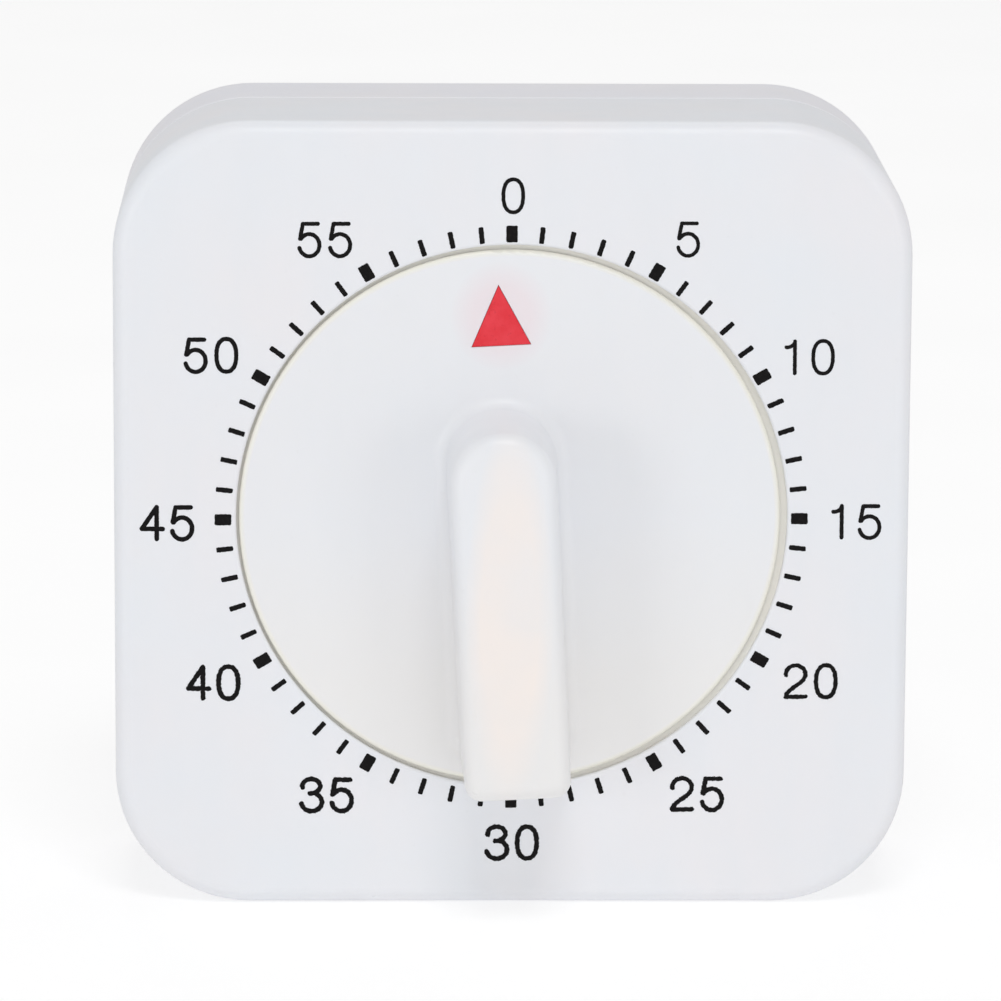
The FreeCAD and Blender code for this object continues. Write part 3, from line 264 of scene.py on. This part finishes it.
def brushed(scale, grain=0.5):
    """Straight fine lines: scale is small along the lines."""
    return lambda look: look.noise(grain, 3, look.stretch(scale), 0.65)


def turned(centre, pitch=0.12):
    """Fine rings round the row's y direction through a centre."""
    def marks(look):
        radius = look.distance_to(centre, (1, 0, 1))
        rings = look.add("ShaderNodeTexNoise", {"W": look.math("DIVIDE", radius, pitch),
                                                "Scale": 1.0, "Detail": 2.0},
                         noise_dimensions="1D")
        return rings.outputs["Fac"]
    return marks


def drawn(pitch=0.1):
    """Fine rings along the row's y direction, as a lathe leaves on a rod."""
    return lambda look: look.noise(pitch, 2, look.stretch((0.08, 1, 0.08)))


def middle(node):
    low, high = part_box(node)
    return (low + high) / 2


def plate_brass(node):
    return metal(f"plate_brass_{node}", rgb(214, 178, 96), rgb(188, 146, 74),
                 brushed((0.05, 1, 1)), 0.34)


def wheel_brass(node):
    return metal(f"wheel_brass_{node}", rgb(220, 184, 100), rgb(196, 152, 76),
                 turned(middle(node)), 0.27)


def arbor_steel(node):
    return metal(f"arbor_steel_{node}", rgb(196, 196, 194), rgb(168, 166, 162), drawn(), 0.25)


def lever_steel(node):
    return metal(f"lever_steel_{node}", rgb(176, 178, 180), rgb(146, 144, 142),
                 brushed((1, 1, 0.08)), 0.36, depth=0.006)


def spring_steel(node):
    return metal(f"spring_steel_{node}", rgb(112, 122, 142), rgb(86, 84, 96),
                 brushed((1, 0.06, 1), 0.3), 0.3)


def bell_steel(node):
    return metal(f"bell_steel_{node}", rgb(206, 205, 200), rgb(184, 180, 170),
                 turned(middle(node), 0.2), 0.18, spread=0.08, patches=6)


def zinc_screw(node):
    return metal(f"zinc_screw_{node}", rgb(196, 200, 206), rgb(190, 182, 158),
                 brushed((1, 1, 1), 0.4), 0.3, patches=1.2)


PLASTICS = {"case_plastic": case_plastic, "cover_plastic": cover_plastic,
            "knob_plastic": knob_plastic, "pointer_red": pointer_red}
METALS = {"plate_brass": plate_brass, "wheel_brass": wheel_brass, "arbor_steel": arbor_steel,
          "lever_steel": lever_steel, "spring_steel": spring_steel, "bell_steel": bell_steel,
          "zinc_screw": zinc_screw}


def dress_cad_nodes():
    """Gives each CAD node the material that its slot in the record asks for."""
    for name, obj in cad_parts.items():
        wanted = obj.data.materials[0].name.split(".")[0]
        made = PLASTICS[wanted]() if wanted in PLASTICS else METALS[wanted](name)
        obj.data.materials[0] = made


# ---------------------------------------------------------------- dial print

PRINT_SHIFT = (-0.05, -0.12)  # the whole print is a little off centre
PRINT_TURN = math.radians(0.18)  # and turned counter-clockwise
INK_STROKE = 0.375  # width of a digit's stroke, on average
INK_HEAVIER = 0.055  # the pad pressed harder towards one side
HEAVY_SIDE = math.radians(210)  # which is this far clockwise from the top
INK_RISE = 0.012  # the ink stands this far off the face
INK_ROOT = 0.01  # and this far below it
INK_STEP = 0.03  # spacing of the field that gives an outline
HALF_WIDE = 0.84  # half of a digit's width, to the middle of its stroke
HALF_HIGH = 1.38  # half of a digit's height, to the middle of its stroke
DIGIT_PITCH = 2.60  # from digit to digit in a number
RAGGED = (20, 25, 30, 35, 40)  # numbers whose print is more broken
ROUGH, ROUGHER = 0.022, 0.055  # how far the edge of a number strays, and of a ragged one
NUMBERS_WIDE, NUMBERS_HIGH = 29.5, 28.16  # half sizes of the oval that the numbers follow
NUMBERS_ASIDE = 0.1  # all the numbers stand this far to the right of it
LEVEL_DROP = 0.27  # and the numbers 0, 15, 30 and 45 this far below it
# How far a number stands out from the oval, sideways and upwards or downwards, by its minutes
# from the nearest of 0 and 30; then the same for the numbers that stand apart
OUTWARDS = {0: (0, 0), 5: (1.2, -0.22), 10: (0.1, 0.16), 15: (0, 0)}
OUTWARDS_ALONE = {5: (0.1, -0.22), 10: (-0.45, -0.08), 15: (-0.25, 0)}
WIDE_MARK = (0.97, 23.91, 25.34)  # width, inner and outer radius
NARROW_MARK = (0.43, 23.9, 25.35)
MARK_CORNER = 0.12  # rounding of a mark's corners
MARK_ROUGH = 0.03  # how far the edge of a mark strays


def line(*points):
    return np.array(points, float)


def arc(x, y, wide, high, start, end, power=2.0):
    """Points along a superellipse, from start to end in degrees."""
    turn = np.radians(np.linspace(start, end, 33))
    def bend(value):
        return np.sign(value) * np.abs(value) ** (2 / power)
    return np.stack([x + wide * bend(np.cos(turn)), y + high * bend(np.sin(turn))], axis=1)


def curve(a, b, c, d):
    """Points along a cubic curve."""
    t = np.linspace(0, 1, 17)[:, None]
    a, b, c, d = (np.array(point, float) for point in (a, b, c, d))
    return (1 - t) ** 3 * a + 3 * (1 - t) ** 2 * t * b + 3 * (1 - t) * t ** 2 * c + t ** 3 * d


def strokes(digit):
    """The middle lines of a plain, light digit, about its own centre."""
    w, h = HALF_WIDE, HALF_HIGH
    if digit == "0":
        return [arc(0, 0, w, h + 0.03, 0, 360, 2.3)]
    if digit == "1":
        return [line((0.2, h), (0.2, -h)),
                curve((-0.53, 0.86), (-0.15, 0.86), (0.07, 1.0), (0.2, h - 0.06))]
    if digit == "2":
        return [arc(0, 0.6, w, h - 0.58, 184, -16),
                curve((0.8, 0.38), (0.55, -0.32), (-0.72, -0.6), (-w, -h)),
                line((-w, -h), (w + 0.02, -h + 0.03))]
    if digit == "3":
        return [arc(-0.02, 0.8, w - 0.08, h - 0.76, 190, -62),
                line((-0.14, 0.15), (0.34, 0.17)),
                arc(0, -0.62, w + 0.04, 0.8, 66, -170)]
    if digit == "4":
        return [line((0.42, h), (-w, -0.5)), line((-w, -0.5), (w + 0.1, -0.52)),
                line((0.42, h), (0.42, -h))]
    if digit == "5":
        return [line((-0.56, h - 0.03), (0.72, h - 0.03)), line((-0.56, h - 0.03), (-0.8, 0.06)),
                arc(-0.02, -0.48, w + 0.02, 0.95, 145, -166)]


def wobble(x, y, seed):
    """A smooth, fixed roughness of about -1 to 1."""
    total = np.zeros_like(x)
    for octave, (length, weight) in enumerate(((0.55, 0.5), (0.23, 0.35), (0.11, 0.25))):
        turn = seed * 1.7 + octave * 2.1
        along = (x * math.cos(turn) + y * math.sin(turn)) * 2 * math.pi / length
        across = (y * math.cos(turn) - x * math.sin(turn)) * 2 * math.pi / (length * 1.13)
        total += weight * np.sin(along + seed) * np.cos(across + 2.3 * seed)
    return total


def to_strokes(x, y, lines):
    """Distance from each point to the nearest of the middle lines."""
    nearest = np.full(x.shape, np.inf)
    for points in lines:
        for (ax, ay), (bx, by) in zip(points[:-1], points[1:]):
            dx, dy = bx - ax, by - ay
            share = np.clip(((x - ax) * dx + (y - ay) * dy) / (dx * dx + dy * dy), 0, 1)
            nearest = np.minimum(nearest, np.hypot(x - ax - share * dx, y - ay - share * dy))
    return nearest


def outlines(distance, half_x, half_y):
    """The closed loops where distance(x, y) is zero inside a box, by marching squares."""
    xs = np.arange(-half_x, half_x + INK_STEP, INK_STEP)
    ys = np.arange(-half_y, half_y + INK_STEP, INK_STEP)
    field = distance(*np.meshgrid(xs, ys))
    inside = field < 0
    mixed = sum(inside[r:len(ys) - 1 + r, c:len(xs) - 1 + c].astype(int)
                for r in (0, 1) for c in (0, 1))
    follows, crossing = {}, {}
    for row, col in zip(*np.nonzero((mixed > 0) & (mixed < 4))):
        corners = [(row, col), (row, col + 1), (row + 1, col + 1), (row + 1, col)]
        leaving, entering = [], []
        for side in range(4):
            a, b = corners[side], corners[(side + 1) % 4]
            if inside[a] != inside[b]:
                share = field[a] / (field[a] - field[b])
                key = (min(a, b), max(a, b))
                crossing[key] = (xs[a[1]] + share * (xs[b[1]] - xs[a[1]]),
                                 ys[a[0]] + share * (ys[b[0]] - ys[a[0]]))
                (leaving if inside[a] else entering).append((side, key))
        for side, key in leaving:
            follows[key] = min(entering, key=lambda other: (other[0] - side) % 4)[1]
    loops = []
    while follows:
        start, loop = next(iter(follows)), []
        key = start
        while key in follows:
            loop.append(crossing[key])
            key = follows.pop(key)
        loops.append(loop)
    return loops


def on_print(x, y):
    """A place of the print, moved and turned with the whole print."""
    placed = Matrix.Rotation(PRINT_TURN, 3, "Z") @ Vector((x, y, 0))
    return placed + Vector((*PRINT_SHIFT, 0))


def ink_piece(name, shapes, material):
    """One thin raised piece from shapes, each as (loops, x, y, turn in radians)."""
    vertices, faces = [], []
    for loops, x, y, turn in shapes:
        place = on_print(x, y)
        turned = Matrix.Rotation(turn + PRINT_TURN, 3, "Z")
        flat = [[turned @ Vector((px, py, 0)) + place for px, py in loop] for loop in loops]
        top = len(vertices)
        points = [point for loop in flat for point in loop]
        vertices += [at_dial(point.x, point.y, INK_RISE) for point in points]
        bottom = len(vertices)
        vertices += [at_dial(point.x, point.y, -INK_ROOT) for point in points]
        for triangle in tessellate_polygon(flat):
            faces.append([top + i for i in triangle])
            faces.append([bottom + i for i in reversed(triangle)])
        first = 0
        for loop in flat:
            count = len(loop)
            for i in range(count):
                a, b = first + i, first + (i + 1) % count
                faces.append([top + a, bottom + a, bottom + b, top + b])
            first += count
    mesh = bpy.data.meshes.new(name)
    mesh.from_pydata([tuple(v) for v in vertices], [], faces)
    shell = bmesh.new()
    shell.from_mesh(mesh)
    bmesh.ops.recalc_face_normals(shell, faces=shell.faces)
    shell.to_mesh(mesh)
    shell.free()
    mesh.materials.append(material)
    piece = link(bpy.data.objects.new(name, mesh))
    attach(piece, "case")
    return piece


def number_place(number):
    """Where a number's centre stands on the dial, as unevenly as it was laid out."""
    turn = math.radians(6 * number)
    x, y = NUMBERS_WIDE * math.sin(turn), NUMBERS_HIGH * math.cos(turn)
    from_end = min(number % 30, 30 - number % 30)
    out_x, out_y = OUTWARDS_ALONE.get(number, OUTWARDS[from_end])
    lower = LEVEL_DROP if number % 15 == 0 else 0
    return (x + math.copysign(1, x) * out_x + NUMBERS_ASIDE,
            y + math.copysign(1, y) * out_y - lower)


def print_number(number, material):
    text = str(number)
    x, y = number_place(number)
    rough = ROUGHER if number in RAGGED else ROUGH
    stroke = INK_STROKE + INK_HEAVIER * math.cos(math.radians(6 * number) - HEAVY_SIDE)
    shapes = []
    for place, digit in enumerate(text):
        lines, seed = strokes(digit), number + 3 * place + 1
        def distance(px, py):
            return to_strokes(px, py, lines) - stroke / 2 + rough * wobble(px, py, seed)
        loops = outlines(distance, HALF_WIDE + 0.6, HALF_HIGH + 0.5)
        across = (place - (len(text) - 1) / 2) * DIGIT_PITCH
        shapes.append((loops, x + across, y, 0.0))
    ink_piece(f"number_{number}", shapes, material)


def print_marks(name, numbers, wide, inner, outer, material):
    """Radial marks with rounded corners, one for each minute in numbers."""
    tall, corner = outer - inner, MARK_CORNER
    shapes = []
    for number in numbers:
        turn = math.radians(6 * number)
        def distance(px, py):
            dx = np.abs(px) - wide / 2 + corner
            dy = np.abs(py) - tall / 2 + corner
            away = np.hypot(np.maximum(dx, 0), np.maximum(dy, 0))
            away += np.minimum(np.maximum(dx, dy), 0) - corner
            return away + MARK_ROUGH * wobble(px, py, number)
        loops = outlines(distance, wide / 2 + 0.2, tall / 2 + 0.2)
        middle_radius = (inner + outer) / 2
        shapes.append((loops, middle_radius * math.sin(turn), middle_radius * math.cos(turn), -turn))
    ink_piece(name, shapes, material)


def print_dial():
    material = ink()
    for number in range(0, 60, 5):
        print_number(number, material)
    print_marks("marks_wide", range(0, 60, 5), *WIDE_MARK, material)
    narrow = [minute for minute in range(60) if minute % 5]
    print_marks("marks_narrow", narrow, *NARROW_MARK, material)


# ---------------------------------------------------------------- stage, lights, camera

FLOOR_GLOW, FLOOR_GLOW_SEEN = 0.44, 0.56  # towards the timer, and towards the camera
WORLD_LIGHT, WORLD_LIGHT_SEEN = 0.59, 1.05


def pale_floor():
    """A wide pale floor that glows a little, as a light table does."""
    half = 3.0
    mesh = bpy.data.meshes.new("floor")
    mesh.from_pydata([(-half, -half, 0), (half, -half, 0), (half, half, 0), (-half, half, 0)],
                     [], [(0, 1, 2, 3)])
    look = Look("pale_floor")
    shade = look.span(look.noise(60, 2), 0.3, 0.7, 0.50, 0.52)
    tone = look.add("ShaderNodeCombineColor", {"Red": shade, "Green": shade, "Blue": shade})
    seen = look.add("ShaderNodeLightPath").outputs["Is Camera Ray"]
    glow = look.span(seen, 0, 1, FLOOR_GLOW, FLOOR_GLOW_SEEN)
    look.finish(tone.outputs["Color"], 0.8, Emission_Color=(1, 1, 1, 1), Emission_Strength=glow)
    mesh.materials.append(look.material)
    link(bpy.data.objects.new("floor", mesh))


def soft_light(name, place, power, side):
    """A square soft box that faces the timer's middle; place is in metres."""
    lamp = bpy.data.lights.new(name, "AREA")
    lamp.energy, lamp.size = power, side
    obj = link(bpy.data.objects.new(name, lamp))
    obj.location = place
    obj.rotation_euler = (DIAL - Vector(place)).to_track_quat("-Z", "Y").to_euler()


def white_world():
    """Even white light from all round, and pure white behind the timer."""
    world = bpy.data.worlds.new("white")
    world.use_nodes = True
    nodes, links = world.node_tree.nodes, world.node_tree.links
    background = nodes["Background"]
    background.inputs["Color"].default_value = (1, 1, 1, 1)
    seen = nodes.new("ShaderNodeLightPath").outputs["Is Camera Ray"]
    strength = nodes.new("ShaderNodeMapRange")
    strength.inputs["To Min"].default_value = WORLD_LIGHT
    strength.inputs["To Max"].default_value = WORLD_LIGHT_SEEN
    links.new(seen, strength.inputs["Value"])
    links.new(strength.outputs["Result"], background.inputs["Strength"])
    bpy.context.scene.world = world


def photo_camera():
    """A long lens above the dial's axis, at the photograph's viewing angle."""
    pitch, yaw, roll = math.radians(11.009), math.radians(1.158), math.radians(-0.292)
    distance, aside = 558.6, Vector((0.980, -1.483))
    pixels_per_mm, image_side, sensor = 11.707, 1001, 36
    turn = (Matrix.Rotation(roll, 3, "Z") @ Matrix.Rotation(pitch, 3, "X")
            @ Matrix.Rotation(yaw, 3, "Y"))
    place = turn.transposed() @ Vector((-aside.x, -aside.y, distance))
    right, up, back = (Vector((axis.x, -axis.z, axis.y)) for axis in turn)
    camera = bpy.data.cameras.new("camera")
    camera.sensor_width = sensor
    camera.lens = pixels_per_mm * distance / image_side * sensor
    camera.clip_start, camera.clip_end = 0.05, 20
    obj = link(bpy.data.objects.new("camera", camera))
    obj.matrix_world = (Matrix.Translation(at_dial(*place))
                        @ Matrix((right, up, back)).transposed().to_4x4())
    bpy.context.scene.camera = obj


def stage_and_lights():
    pale_floor()
    white_world()
    soft_light("above", (0.05, -0.6, 0.9), 2.4, 0.35)
    soft_light("behind", (0.0, 0.6, 0.9), 0.6, 0.35)
    soft_light("left", (-0.65, -0.8, 0.1), 1.0, 0.3)
    soft_light("right", (0.6, -0.8, 0.1), 0.6, 0.3)
    photo_camera()
    bpy.context.scene.view_settings.view_transform = "Standard"


dress_cad_nodes()
print_dial()
stage_and_lights()
